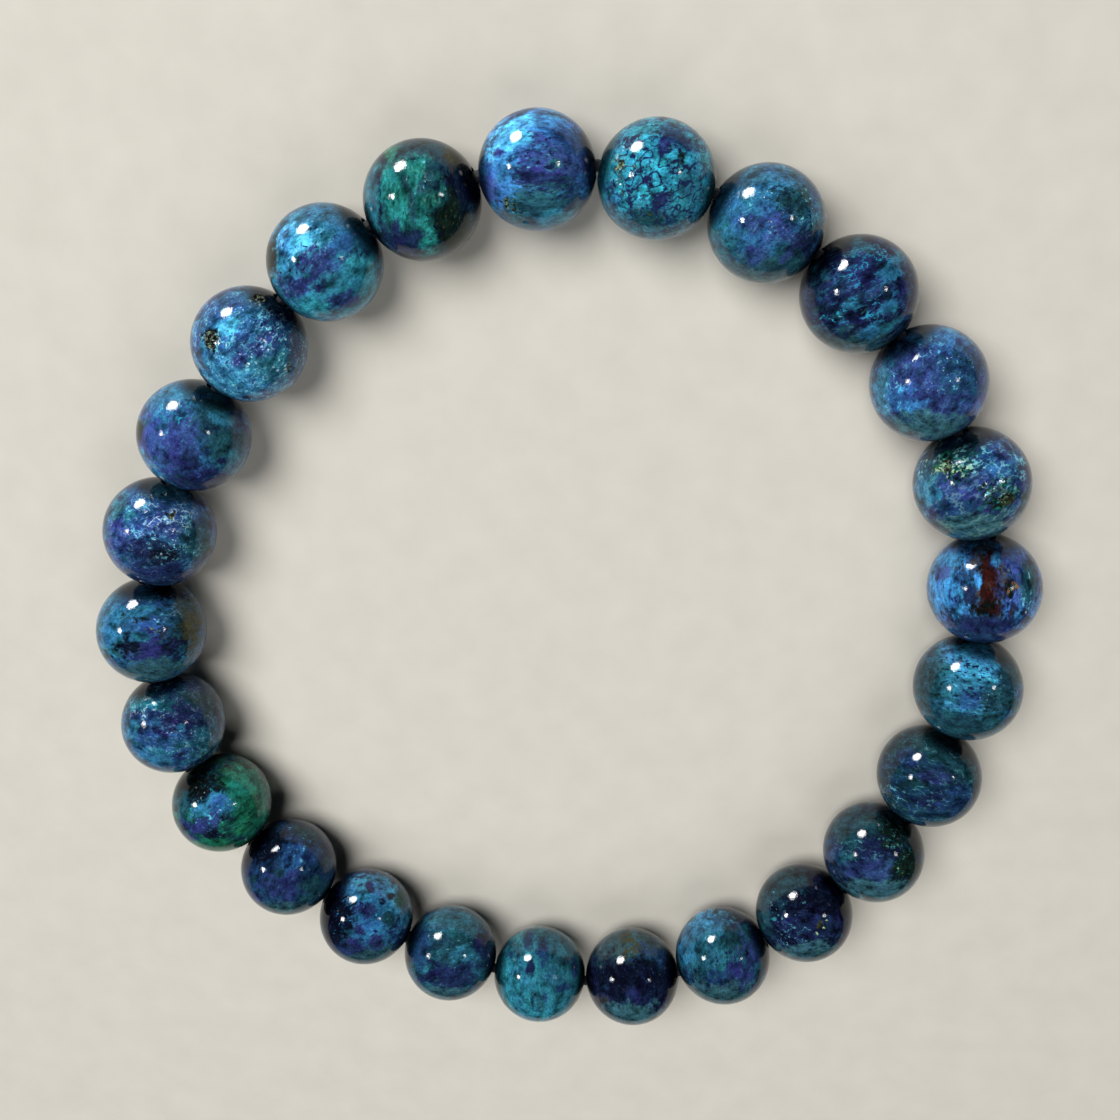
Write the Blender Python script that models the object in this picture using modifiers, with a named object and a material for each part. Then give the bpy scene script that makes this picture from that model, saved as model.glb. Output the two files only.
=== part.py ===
"""Chrysocolla bead bracelet: drilled round stone beads strung on one closed elastic cord.

The bracelet lies flat, as on a table. Dimensions are in millimetres, and the model is built in
metres with +Z up. The origin is the middle of the ring at the height that the beads rest on.
Beads are numbered clockwise as seen from above, from the one at the far side (+Y).
"""

import math

import bpy
from mathutils import Matrix, Vector

MM = 0.001

# Ring: the beads touch all the way round, so their sizes set its length. An elastic cord doesn't
# hold a true circle, so the ring has slight lobes: (lobes round the ring, height in mm, place of
# the first lobe in degrees clockwise from the first bead).
RING_LOBES = ((2, 0.8, 25.0), (3, 0.5, 60.0), (4, 0.4, -35.0))
FIRST_BEAD_ANGLE = 93.0
BEAD_GAP = 0.05

# Drill hole and cord
BORE_DIAMETER = 1.4
CORD_DIAMETER = 0.8

# Facets of a bead. The number of bands is odd, so the middle band lies flat along the bore, and a
# bead of any size rests on one flat facet of that band.
BEAD_STEPS = 18
BEAD_BANDS = 9
CORD_SIDES_LEVEL = 2

# Body colours of the polished stone, linear RGB
AZURE = (0.035, 0.215, 0.540)
TEAL = (0.018, 0.150, 0.210)
INDIGO = (0.022, 0.040, 0.190)
NAVY = (0.010, 0.020, 0.070)
MALACHITE = (0.010, 0.150, 0.100)
CORD_BLACK = (0.012, 0.012, 0.014)

STONE_ROUGHNESS = 0.12
CORD_ROUGHNESS = 0.55

# Each bead's diameter in mm and body colour. Natural stone beads differ by a tenth or two.
BEADS = (
    (7.9, AZURE),
    (7.9, AZURE),
    (7.9, INDIGO),
    (8.0, NAVY),
    (8.1, INDIGO),
    (8.2, INDIGO),
    (8.2, AZURE),
    (8.1, AZURE),
    (8.0, TEAL),
    (8.0, NAVY),
    (7.9, NAVY),
    (7.9, TEAL),
    (7.9, NAVY),
    (7.8, TEAL),
    (7.8, TEAL),
    (7.8, AZURE),
    (7.8, NAVY),
    (7.9, MALACHITE),
    (8.0, INDIGO),
    (8.2, AZURE),
    (8.2, INDIGO),
    (8.1, INDIGO),
    (8.1, AZURE),
    (8.0, AZURE),
    (8.0, MALACHITE),
)


def clear_scene():
    """Start from an empty scene."""
    for item in list(bpy.context.scene.objects):
        bpy.data.objects.remove(item, do_unlink=True)


def make_material(name, colour, roughness):
    """A Principled BSDF with one colour, for a piece that isn't metal."""
    material = bpy.data.materials.new(name)
    material.use_nodes = True
    shader = material.node_tree.nodes["Principled BSDF"]
    shader.inputs["Base Color"].default_value = (*colour, 1.0)
    shader.inputs["Roughness"].default_value = roughness
    shader.inputs["Metallic"].default_value = 0.0
    material.diffuse_color = (*colour, 1.0)
    return material


def lobe_height(index):
    """How far bead number index sits outside the ring's mean circle, in mm."""
    place = 360.0 * index / len(BEADS)
    total = 0.0
    for lobes, height, first_lobe in RING_LOBES:
        total += height * math.cos(math.radians(lobes * place - first_lobe))
    return total


def angle_steps(mean_radius):
    """The angle at the ring's middle from each bead to the next one, with neighbours touching."""
    steps = []
    for index, (diameter, _) in enumerate(BEADS):
        next_index = (index + 1) % len(BEADS)
        near = mean_radius + lobe_height(index)
        far = mean_radius + lobe_height(next_index)
        chord = (diameter + BEADS[next_index][0]) / 2 + BEAD_GAP
        cosine = (near ** 2 + far ** 2 - chord ** 2) / (2 * near * far)
        steps.append(math.acos(cosine))
    return steps


def closing_radius():
    """The mean radius at which the touching beads just close the ring, found by halving."""
    circle_radius = sum(diameter + BEAD_GAP for diameter, _ in BEADS) / (2 * math.pi)
    low = 0.9 * circle_radius
    high = 1.1 * circle_radius
    for _ in range(50):
        middle = (low + high) / 2
        if sum(angle_steps(middle)) > 2 * math.pi:
            low = middle
        else:
            high = middle
    return (low + high) / 2


def flat_distance(diameter):
    """From a bead's middle to the flat of its lowest facet, in mm."""
    radius = diameter / 2
    bore_angle = math.asin(BORE_DIAMETER / diameter)
    half_band = (math.pi / 2 - bore_angle) / BEAD_BANDS
    return radius * math.cos(half_band) * math.cos(math.pi / BEAD_STEPS)


def bead_centres():
    """The bead centres in mm, ring centred over the origin, each bead resting on Z = 0."""
    mean_radius = closing_radius()
    angle = math.radians(FIRST_BEAD_ANGLE)
    centres = []
    for index, step in enumerate(angle_steps(mean_radius)):
        out = mean_radius + lobe_height(index)
        centres.append(Vector((out * math.cos(angle), out * math.sin(angle), 0.0)))
        angle -= step

    # The middle of the ring's box goes over the origin.
    sides = [(centre, flat_distance(diameter)) for centre, (diameter, _) in zip(centres, BEADS)]
    for axis in (0, 1):
        low = min(centre[axis] - reach for centre, reach in sides)
        high = max(centre[axis] + reach for centre, reach in sides)
        for centre in centres:
            centre[axis] -= (low + high) / 2
    for centre, (diameter, _) in zip(centres, BEADS):
        centre.z = flat_distance(diameter)
    return centres


def cord_corners(centres):
    """The points between the beads where the cord bends, in mm.

    Inside a bead the cord runs straight along the bore. Between two beads it bends, a little
    further out than the point where they touch, so that each straight run passes through its
    bead's middle. Corner number index lies between bead index and the next one.
    """
    count = len(centres)
    chords = [(centres[(index + 1) % count] - centres[index]).normalized() for index in range(count)]
    sag = []
    for index, (diameter, _) in enumerate(BEADS):
        turn = chords[index - 1].angle(chords[index])
        sag.append(diameter * math.sin(turn / 2))
    corners = []
    for index, (diameter, _) in enumerate(BEADS):
        next_index = (index + 1) % count
        chord = chords[index]
        outward = Vector((-chord.y, chord.x, 0.0))
        contact = centres[index] + chord * (diameter + BEAD_GAP) / 2
        push = (sag[index] + sag[next_index]) / 4
        corners.append(contact + outward * push)
    return corners


def bead_profile(diameter):
    """Half outline of a bead across its bore, as (distance from the bore's axis, along it).

    It runs down the round outside from one mouth of the hole to the other, and back up the wall
    of the hole.
    """
    radius = diameter / 2
    bore_angle = math.asin(BORE_DIAMETER / diameter)
    points = []
    for band in range(BEAD_BANDS + 1):
        polar = bore_angle + (math.pi - 2 * bore_angle) * band / BEAD_BANDS
        points.append((radius * math.sin(polar), radius * math.cos(polar)))
    return points


def make_bead(name, diameter, centre, bore_direction, collection, material):
    """A drilled ball, turned about its bore and laid with the bore along the ring."""
    mesh = bpy.data.meshes.new(name)
    outline = bead_profile(diameter)
    vertices = [(out * MM, 0.0, along * MM) for out, along in outline]
    count = len(vertices)
    edges = [(index, (index + 1) % count) for index in range(count)]
    mesh.from_pydata(vertices, edges, [])
    bead = bpy.data.objects.new(name, mesh)
    collection.objects.link(bead)

    turned = bead.modifiers.new("turned", "SCREW")
    turned.axis = "Z"
    turned.steps = BEAD_STEPS
    turned.render_steps = BEAD_STEPS
    turned.use_merge_vertices = True
    turned.merge_threshold = 0.00001
    turned.use_smooth_shade = True

    # Local +Z goes along the bore and local +X points half a step off straight down, which puts
    # the middle of one facet at the bottom.
    along = Vector(bore_direction).normalized()
    down = Vector((0.0, 0.0, -1.0))
    side = along.cross(down)
    frame = Matrix((down, side, along)).transposed()
    half_step = Matrix.Rotation(math.pi / BEAD_STEPS, 3, "Z")
    bead.matrix_world = Matrix.Translation(centre * MM) @ (frame @ half_step).to_4x4()
    bead.data.materials.append(material)
    return bead


def make_cord(corners, height, collection, material):
    """The elastic cord: one closed loop, straight in each bead and bent between beads."""
    curve = bpy.data.curves.new("elastic_cord", "CURVE")
    curve.dimensions = "3D"
    curve.bevel_depth = CORD_DIAMETER / 2 * MM
    curve.bevel_resolution = CORD_SIDES_LEVEL
    curve.use_fill_caps = True
    spline = curve.splines.new("POLY")
    spline.points.add(2 * len(corners) - 1)
    spline.use_cyclic_u = True
    for index, corner in enumerate(corners):
        before = corners[index - 1]
        middle = (before + corner) / 2
        for slot, point in ((2 * index, middle), (2 * index + 1, corner)):
            spline.points[slot].co = (point.x * MM, point.y * MM, height * MM, 1.0)
    cord = bpy.data.objects.new("elastic_cord", curve)
    collection.objects.link(cord)
    cord.data.materials.append(material)
    return cord


def build():
    clear_scene()
    collection = bpy.data.collections.new("chrysocolla_bracelet")
    bpy.context.scene.collection.children.link(collection)

    centres = bead_centres()
    corners = cord_corners(centres)
    for index, (diameter, colour) in enumerate(BEADS):
        name = f"bead_{index + 1:02d}"
        stone = make_material(f"{name}_stone", colour, STONE_ROUGHNESS)
        bore_direction = corners[index] - corners[index - 1]
        bore_direction.z = 0.0
        make_bead(name, diameter, centres[index], bore_direction, collection, stone)

    elastic = make_material("cord_elastic", CORD_BLACK, CORD_ROUGHNESS)
    mean_height = sum(centre.z for centre in centres) / len(centres)
    make_cord(corners, mean_height, collection, elastic)


build()
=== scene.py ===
import math
import bmesh
import bpy
from mathutils import Matrix, Vector, noise


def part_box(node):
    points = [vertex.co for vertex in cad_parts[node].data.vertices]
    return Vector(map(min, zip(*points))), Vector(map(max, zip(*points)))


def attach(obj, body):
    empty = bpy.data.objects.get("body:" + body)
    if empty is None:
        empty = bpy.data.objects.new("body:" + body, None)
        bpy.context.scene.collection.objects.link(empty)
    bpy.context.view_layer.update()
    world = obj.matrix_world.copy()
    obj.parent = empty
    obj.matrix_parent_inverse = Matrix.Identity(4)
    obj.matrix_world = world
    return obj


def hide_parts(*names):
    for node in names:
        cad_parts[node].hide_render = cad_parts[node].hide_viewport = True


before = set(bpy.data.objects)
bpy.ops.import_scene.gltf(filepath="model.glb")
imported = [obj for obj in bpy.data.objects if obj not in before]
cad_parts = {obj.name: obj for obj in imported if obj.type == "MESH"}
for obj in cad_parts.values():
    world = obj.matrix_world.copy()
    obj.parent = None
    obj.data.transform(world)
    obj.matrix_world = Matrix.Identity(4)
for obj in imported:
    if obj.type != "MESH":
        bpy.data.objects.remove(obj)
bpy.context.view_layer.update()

# A string of 25 polished chrysocolla beads lying in a ring. Lengths in the script are in metres
# unless a name says mm. Places on a bead are given as the photograph shows its disc: how far right
# and how far up from the middle, in bead radii.

MM = 0.001

# Camera: the photograph's viewing angle, past straight down, with the top beads the nearest
CAMERA_PLACE = Vector((0.004096, 0.03873, 0.09073))
CAMERA_AIM = Vector((0.00011, 0.005091, 0.003886))
PICTURE_RIGHT = Vector((0.999, -0.0032, -0.0446))
LENS_MM = 40.2
SENSOR_MM = 36.0

# Shape of the beads
CAD_FLAT_SHARE = 0.973  # a bead's lowest facet in the frame lies this share of its radius from its middle
BORE_MM = 1.4
MOUTH_ROUNDING_MM = 0.07
WALL_OF_HOLE = 0.8  # points nearer to the middle than this, in bead radii, line the drill hole
ARC_STEPS = 84
TURN_STEPS = 132
PIT_CUTS = 2
PIT_MARGIN = 0.03  # how far past a pit the mesh is cut finer, in bead radii
SINGLE_PIT = 0.1  # half widths up to this, in bead radii, are one round dimple
DEEPEST_PIT_MM = 0.2
PIT_WALL = 2.5  # at 1 a pit would be a cone; above 1 its wall is steeper and its bottom flat
PIT_GRAINS_MM = (0.3, 0.14)
PIT_RAGGED = (2.5, 0.35)  # how strongly the grain breaks a pit up, and how much of it stays whole

# Marks in the stone. Their sizes are those that show on the beads in the photograph; the mineral's
# own grain is microscopic, and isn't drawn.
GROUND_MM = 1.7
CLOT_MM = 1.2
SHADE_MM = 0.7
GRAIN_MM = 0.24
SUGAR_MM = 0.16
SQUIGGLE_MM = 0.3
GROUND_STOPS = (0.36, 0.44, 0.5, 0.56, 0.64)
WIDE_BEND = 0.8  # how far clots bend an outline, in bead radii
SMALL_BEND = 0.25
PATCH_DEPTH = 0.8  # how far a patch reaches into the stone, in bead radii
SMALL_PATCH = 0.17  # patches with a half width or height below this have crisper edges
WIDE_EDGE = (1.9, 0.38)  # how far grains crumble an edge, and half of its blend, in half widths
SMALL_EDGE = (1.3, 0.33)
CLOT_SHADE = (0.22, 1.58)
SUGAR_SHADE = (0.6, 1.44)
HUE_DRIFT = (0.47, 0.512)  # 0.5 is no change
SATURATION = 0.98
NOISE_SPAN = (0.3, 0.7)  # the values that most of a noise lies between
SHADE_SPAN = (0.32, 0.68)

# Polish. Chrysocolla's IOR is 1.46 to 1.57. Its mirror is set under what that gives, because the
# rims of the photographed beads stay dark.
STONE_IOR = 1.46
STONE_MIRROR = 0.36
POLISHED_ROUGHNESS = 0.06
PIT_ROUGHNESS = 0.6
PIT_EARTH = (0.08, 0.35)  # where the earth in a pit starts and is whole, as shares of the deepest pit
PIT_DULL = 0.3
# Painted shade at the joints: the stone darkens round both mouths of the hole, where the next bead meets
# this one
JOINT_SHADE = (0.81, 1.0)  # where it starts and is whole, in bead radii along the hole
JOINT_SHADE_RAGGED = 0.2
JOINT_SHADE_DARK = 0.08

# Cord and floor
CORD_RIBS_MM = 0.2
CORD_COLOURS = ("#101114", "#2A2C30")
FLOOR_SIZE = 3.0
PAPER_CLOUDS_MM = 3.0
PAPER_COLOURS = ("#B8B4AA", "#C4C0B6")

# Colours of the stone, sRGB
INK = "#0A0E22"
NAVY = "#161E45"
DEEP_BLUE = "#1A3762"
INDIGO = "#242E65"
VIOLET = "#2D3C7C"
PURPLE = "#242960"
ROYAL = "#27548F"
SKY_BLUE = "#2D6FAE"
AZURE = "#2A6C98"
BRIGHT_AZURE = "#439FDA"
CYAN = "#2690AE"
TURQUOISE = "#267992"
TEAL = "#24627A"
DARK_TEAL = "#1A404F"
# A greyed teal laid in wide bands along a rim, mostly the lower one: painted shade and painted reflection
# of the floor over the stone's own teal
RIM_SHADE_AND_SHEEN = "#2C515E"
SEA_GREEN = "#15605E"
MALACHITE = "#196F63"
JADE_TEAL = "#1F7A7A"
DEEP_GREEN = "#125746"
GREEN_BLACK = "#0F1E1A"
MATRIX_BLACK = "#0B0F0E"
OLIVE = "#3C3D22"
OCHRE = "#7A6038"
RUST = "#29100C"
BROWN_GREY = "#36383D"
GOLD_GREEN = "#A6C792"
# Pale druzy quartz. As glitter it is also painted glints.
DRUZY_AND_GLINTS = "#C8F2F8"
PALE_CYAN = "#6FCBE0"
MIST = "#5B9CA8"


def linear(code):
    """An sRGB hex colour as linear red, green, blue and alpha."""
    values = [int(code[place:place + 2], 16) / 255 for place in (1, 3, 5)]
    return tuple(v / 12.92 if v <= 0.04045 else ((v + 0.055) / 1.055) ** 2.4 for v in values) + (1.0,)


def add(tree, kind, inputs=None, **settings):
    """Adds a node with its settings. An input is a value, or the socket that feeds it."""
    new = tree.nodes.new(kind)
    for name, value in settings.items():
        setattr(new, name, value)
    for name, value in (inputs or {}).items():
        if isinstance(value, bpy.types.NodeSocket):
            tree.links.new(value, new.inputs[name])
        else:
            new.inputs[name].default_value = value
    return new


def maths(tree, operation, *values):
    return add(tree, "ShaderNodeMath", dict(enumerate(values)), operation=operation).outputs[0]


def clouds(tree, where, size_mm, detail, roughness=0.6):
    """Noise, its largest features of a size in mm."""
    return add(tree, "ShaderNodeTexNoise", {
        "Vector": where, "Scale": 1 / (size_mm * MM), "Detail": detail, "Roughness": roughness,
    })


def remap(tree, value, start, end, low=0.0, high=1.0, curve="LINEAR"):
    """Low where a value is at its start or before it, and high where it is at its end or past it."""
    return add(tree, "ShaderNodeMapRange", {
        "Value": value, "From Min": start, "From Max": end, "To Min": low, "To Max": high,
    }, interpolation_type=curve).outputs[0]


def cover(tree, under, over, share):
    """One colour laid over another. Sockets 6 and 7, and output 2, are the node's colours."""
    return add(tree, "ShaderNodeMix", {0: share, 6: under, 7: over}, data_type="RGBA").outputs[2]


def two_colours(tree, value, colours, places=(0.0, 1.0)):
    """A ramp from one colour to another."""
    ramp = add(tree, "ShaderNodeValToRGB", {"Fac": value})
    for stop, colour, place in zip(ramp.color_ramp.elements, colours, places):
        stop.position = place
        stop.color = linear(colour)
    return ramp


def empty_material(name):
    material = bpy.data.materials.new(name)
    material.use_nodes = True
    material.node_tree.nodes.clear()
    return material, material.node_tree


def finish_material(tree, shader):
    output = tree.nodes.new("ShaderNodeOutputMaterial")
    tree.links.new(shader.outputs["BSDF"], output.inputs["Surface"])


def druzy_and_glints(tint, glitter, flecks, places, elsewhere=0.08):
    """Two kinds of pale speck, fine glitter and coarser cyan flecks: partly druzy in the stone, partly
    painted glints where tiny pits catch the light.
    """
    return (
        ("glitter", tint, glitter, elsewhere, places),
        ("flecks", PALE_CYAN, flecks, elsewhere, places),
    )


# What each bead shows, from the top of the ring clockwise. Ground is five colours, the commonest
# in the middle and the rarest at both ends. Streak is the direction that its grain is drawn out
# in, in degrees from right towards up, and how many times longer it is that way. Tone is how
# bright the bead is as a whole. A place is (right, up, half width, half height, turn in degrees),
# with no turn where it is 0, and a patch is its colour and then its place. Specks are (kind,
# colour, density, strength elsewhere, places). A pit is (right, up, half width, depth in mm).
# The wide band across the bottom of most discs is painted shade laid over the stone's own colour. Where
# it is the greyed teal, it is also painted reflection of the floor along the lower rim.
BEADS = (
    dict(  # 1
        ground=(TEAL, SKY_BLUE, ROYAL, INDIGO, DARK_TEAL),
        streak=(3, 1.9), tone=1.4,
        patches=(
            (SKY_BLUE, -0.3, 0.45, 0.85, 0.6, 10),
            (SKY_BLUE, 0.35, 0.75, 0.5, 0.3, -30),
            (BRIGHT_AZURE, -0.38, 0.45, 0.5, 0.35, 20),
            (INDIGO, 0.35, 0.1, 0.6, 0.45, -15),
            (DEEP_BLUE, 0.55, 0.45, 0.3, 0.2, -40),
            (NAVY, 0.05, -0.12, 0.6, 0.13, -12),
            (DARK_TEAL, 0.0, -0.66, 0.9, 0.42),
            (TEAL, 0.3, -0.78, 0.35, 0.16, 10),
            (ROYAL, -0.7, -0.25, 0.25, 0.3),
            (VIOLET, -0.8, -0.3, 0.14, 0.2),
            (VIOLET, -0.6, 0.25, 0.1, 0.08),
            (VIOLET, 0.03, 0.5, 0.12, 0.1),
            (DARK_TEAL, 0.25, 0.1, 0.1, 0.08),
        ),
        specks=(
            ("grains", NAVY, 0.5, 0.5, ((0.2, 0.1, 0.7, 0.5),)),
            *druzy_and_glints(PALE_CYAN, 0.5, 0.6, ((-0.45, 0.4, 0.5, 0.5),)),
            ("grains", OCHRE, 0.35, 0.0, ((-0.45, -0.55, 0.25, 0.14, -30),)),
            ("grains", MATRIX_BLACK, 0.55, 0.1, ((-0.45, -0.55, 0.28, 0.16, -30),)),
        ),
        pits=((-0.45, -0.55, 0.16, 0.15), (-0.2, -0.83, 0.05, 0.12)),
    ),
    dict(  # 2
        ground=(TEAL, AZURE, CYAN, CYAN, TURQUOISE),
        streak=(20, 1.1), tone=1.04,
        patches=(
            (TEAL, 0.0, -0.72, 0.9, 0.36),
            (DARK_TEAL, -0.1, -0.6, 0.3, 0.14),
            (INDIGO, 0.15, 0.55, 0.07, 0.2, -20),
            (DEEP_BLUE, 0.35, 0.62, 0.3, 0.1, -30),
            (NAVY, 0.0, -0.1, 0.2, 0.18),
            (CYAN, 0.0, -0.1, 0.1, 0.09),
            (NAVY, 0.1, -0.33, 0.2, 0.12, 20),
            (GREEN_BLACK, 0.4, 0.33, 0.06, 0.12, 10),
            (TEAL, 0.55, -0.15, 0.25, 0.35),
            (CYAN, -0.75, 0.35, 0.2, 0.35),
        ),
        specks=(
            ("blots", NAVY, 0.48, 0.95, ((-0.2, 0.3, 0.7, 0.6),)),
            ("curls", NAVY, 1.0, 0.6, ((0.1, 0.0, 0.7, 0.6), (-0.4, 0.5, 0.3, 0.25))),
            ("grains", INK, 0.4, 0.8, ((-0.2, 0.3, 0.7, 0.6),)),
            ("grains", OLIVE, 0.45, 0.1, ((-0.6, 0.15, 0.14, 0.3), (-0.1, -0.6, 0.4, 0.2))),
            ("threads", GOLD_GREEN, 0.5, 0.0, ((-0.6, 0.2, 0.16, 0.32),)),
            *druzy_and_glints(DRUZY_AND_GLINTS, 0.5, 0.6, ((-0.5, 0.3, 0.4, 0.5),)),
        ),
        pits=((-0.6, 0.2, 0.14, 0.15), (-0.58, -0.02, 0.08, 0.12)),
    ),
    dict(  # 3
        ground=(DARK_TEAL, TEAL, AZURE, ROYAL, INDIGO),
        streak=(30, 1.3), tone=0.87,
        patches=(
            (AZURE, -0.2, 0.5, 0.9, 0.6),
            (TEAL, -0.7, -0.35, 0.4, 0.35),
            (RIM_SHADE_AND_SHEEN, 0.0, -0.8, 0.8, 0.25),
            (ROYAL, 0.1, -0.05, 0.5, 0.35),
            (VIOLET, 0.2, -0.05, 0.2, 0.2),
            (VIOLET, -0.2, 0.0, 0.16, 0.14),
            (VIOLET, -0.17, -0.5, 0.2, 0.14),
            (DARK_TEAL, 0.45, 0.35, 0.3, 0.25, -20),
            (DARK_TEAL, 0.45, -0.6, 0.4, 0.3),
            (INDIGO, 0.35, -0.35, 0.25, 0.18, 30),
            (NAVY, 0.7, -0.3, 0.2, 0.3),
        ),
        specks=(
            ("grains", GREEN_BLACK, 0.66, 0.25, ((0.45, 0.35, 0.4, 0.35), (0.7, 0.0, 0.25, 0.3))),
            ("grains", NAVY, 0.45, 0.4, ((0.0, 0.0, 0.5, 0.5),)),
            ("threads", PALE_CYAN, 0.35, 0.15, ((-0.45, 0.4, 0.2, 0.2), (-0.3, 0.15, 0.14, 0.12))),
            *druzy_and_glints(DRUZY_AND_GLINTS, 0.5, 0.6, ((0.3, 0.3, 0.5, 0.5),)),
        ),
    ),
    dict(  # 4
        ground=(TEAL, NAVY, NAVY, INDIGO, DARK_TEAL),
        streak=(25, 1.6), tone=0.67,
        patches=(
            (RIM_SHADE_AND_SHEEN, 0.0, -0.85, 0.8, 0.22),
            (INDIGO, -0.1, 0.4, 0.35, 0.25, 20),
            (AZURE, 0.48, 0.38, 0.2, 0.13, 20),
            (AZURE, 0.62, 0.62, 0.12, 0.1, 20),
            (AZURE, -0.05, -0.22, 0.26, 0.06, -15),
            (INK, 0.1, -0.3, 0.12, 0.08),
            (AZURE, 0.2, -0.63, 0.2, 0.1, 30),
            (AZURE, 0.5, -0.2, 0.18, 0.1, 40),
        ),
        specks=(
            ("blots", AZURE, 0.36, 0.1, ((0.15, -0.2, 0.65, 0.45), (-0.1, 0.15, 0.5, 0.12, 25))),
            ("threads", CYAN, 0.6, 0.25, ((0.1, 0.5, 0.6, 0.3), (0.2, -0.3, 0.5, 0.3))),
            *druzy_and_glints(PALE_CYAN, 0.4, 0.6, ((-0.4, -0.4, 0.3, 0.3),)),
            ("grains", CYAN, 0.5, 0.0, ((-0.54, -0.36, 0.14, 0.1),)),
        ),
    ),
    dict(  # 5
        ground=(AZURE, VIOLET, INDIGO, VIOLET, DARK_TEAL),
        streak=(60, 1.15), tone=0.97,
        patches=(
            (SKY_BLUE, 0.1, 0.76, 0.6, 0.22),
            (AZURE, -0.8, -0.05, 0.22, 0.5),
            (VIOLET, -0.05, 0.1, 0.62, 0.58),
            (VIOLET, 0.0, 0.0, 0.5, 0.42),
            (INDIGO, 0.15, -0.25, 0.35, 0.25),
            (ROYAL, -0.3, -0.35, 0.3, 0.2),
            (DEEP_BLUE, 0.5, 0.2, 0.35, 0.4),
            (RIM_SHADE_AND_SHEEN, 0.0, -0.76, 0.8, 0.25),
        ),
        specks=(
            ("grains", TEAL, 0.55, 0.2, ((0.5, 0.2, 0.4, 0.5),)),
            ("grains", GREEN_BLACK, 0.5, 0.1, ((0.55, 0.2, 0.35, 0.45),)),
            ("flecks", BRIGHT_AZURE, 0.9, 0.03, ((0.1, 0.6, 0.35, 0.25), (-0.4, -0.3, 0.25, 0.2))),
            ("threads", PALE_CYAN, 0.6, 0.1, ((0.0, 0.6, 0.3, 0.25), (-0.6, -0.1, 0.25, 0.35))),
            *druzy_and_glints(DRUZY_AND_GLINTS, 0.5, 0.6, ((0.4, 0.2, 0.4, 0.5),)),
        ),
    ),
    dict(  # 6
        ground=(DARK_TEAL, DEEP_BLUE, INDIGO, VIOLET, TEAL),
        streak=(35, 1.5), tone=0.9,
        patches=(
            (AZURE, -0.78, 0.0, 0.25, 0.45),
            (DARK_TEAL, -0.35, 0.4, 0.45, 0.4, 20),
            (VIOLET, -0.1, -0.02, 0.4, 0.3, 20),
            (ROYAL, 0.45, 0.4, 0.3, 0.3),
            (VIOLET, 0.47, 0.46, 0.14, 0.14),
            (RIM_SHADE_AND_SHEEN, 0.0, -0.75, 0.8, 0.28),
            (GREEN_BLACK, 0.5, -0.22, 0.3, 0.2, 20),
            (OLIVE, 0.6, -0.3, 0.12, 0.08),
            (DEEP_BLUE, -0.25, -0.4, 0.35, 0.14),
            (GREEN_BLACK, -0.4, 0.3, 0.18, 0.3, 30),
        ),
        specks=(
            ("grains", GREEN_BLACK, 0.5, 0.3, ((-0.35, 0.35, 0.4, 0.35), (0.5, -0.2, 0.35, 0.3))),
            ("threads", PALE_CYAN, 1.1, 0.1, ((-0.1, 0.45, 0.6, 0.35), (0.7, 0.3, 0.2, 0.3),
                                              (-0.8, 0.3, 0.15, 0.2))),
            ("threads", GOLD_GREEN, 1.3, 0.1, ((-0.4, 0.3, 0.28, 0.33, 30),)),
            ("grains", DEEP_GREEN, 0.6, 0.0, ((-0.4, 0.3, 0.3, 0.3, 30), (0.55, -0.2, 0.3, 0.25))),
            ("grains", CYAN, 0.35, 0.25, ((0.3, -0.05, 0.3, 0.25),)),
            *druzy_and_glints(DRUZY_AND_GLINTS, 0.65, 0.6, ((-0.4, 0.3, 0.35, 0.35), (0.3, 0.0, 0.3, 0.3))),
        ),
        pits=((-0.42, 0.32, 0.16, 0.15), (0.55, -0.22, 0.14, 0.12)),
    ),
    dict(  # 7
        ground=(NAVY, ROYAL, SKY_BLUE, NAVY, BROWN_GREY),
        streak=(90, 1.5), tone=1.2,
        patches=(
            (SKY_BLUE, -0.6, 0.15, 0.45, 0.6),
            (VIOLET, 0.45, 0.15, 0.45, 0.5),
            (DARK_TEAL, 0.75, 0.1, 0.15, 0.4),
            (NAVY, -0.3, -0.08, 0.2, 0.3),
            (VIOLET, -0.7, 0.27, 0.14, 0.12),
            (BROWN_GREY, 0.05, 0.0, 0.24, 0.8),
            (RUST, 0.08, 0.1, 0.16, 0.6),
            (MATRIX_BLACK, 0.02, -0.38, 0.28, 0.2),
            (SKY_BLUE, 0.2, 0.5, 0.07, 0.12),
            (MATRIX_BLACK, 0.42, 0.0, 0.1, 0.2),
            (SKY_BLUE, -0.1, 0.15, 0.06, 0.12),
            (NAVY, 0.0, -0.62, 0.7, 0.14),
            (NAVY, 0.0, -0.85, 0.8, 0.2),
        ),
        specks=(
            ("blots", NAVY, 0.36, 0.5, ((-0.5, 0.1, 0.5, 0.5), (0.5, 0.0, 0.4, 0.5))),
            ("grains", MATRIX_BLACK, 0.45, 0.3, ((0.05, 0.0, 0.3, 0.7),)),
            ("blots", RUST, 0.7, 0.0, ((0.1, 0.0, 0.16, 0.42), (0.05, -0.25, 0.2, 0.16))),
            ("grains", BROWN_GREY, 0.6, 0.0, ((-0.4, 0.37, 0.18, 0.16),)),
            ("grains", OCHRE, 0.85, 0.0, ((0.42, 0.0, 0.07, 0.15),)),
            ("threads", PALE_CYAN, 0.3, 0.05, ((0.7, -0.3, 0.25, 0.3),)),
            *druzy_and_glints(DRUZY_AND_GLINTS, 0.35, 0.6, ((0.7, 0.0, 0.25, 0.5),)),
        ),
    ),
    dict(  # 8
        ground=(DARK_TEAL, TEAL, AZURE, DEEP_BLUE, GREEN_BLACK),
        streak=(-10, 1.5), tone=0.81,
        patches=(
            (BRIGHT_AZURE, 0.05, 0.42, 0.6, 0.4),
            (TEAL, -0.55, 0.25, 0.3, 0.4, 20),
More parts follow.
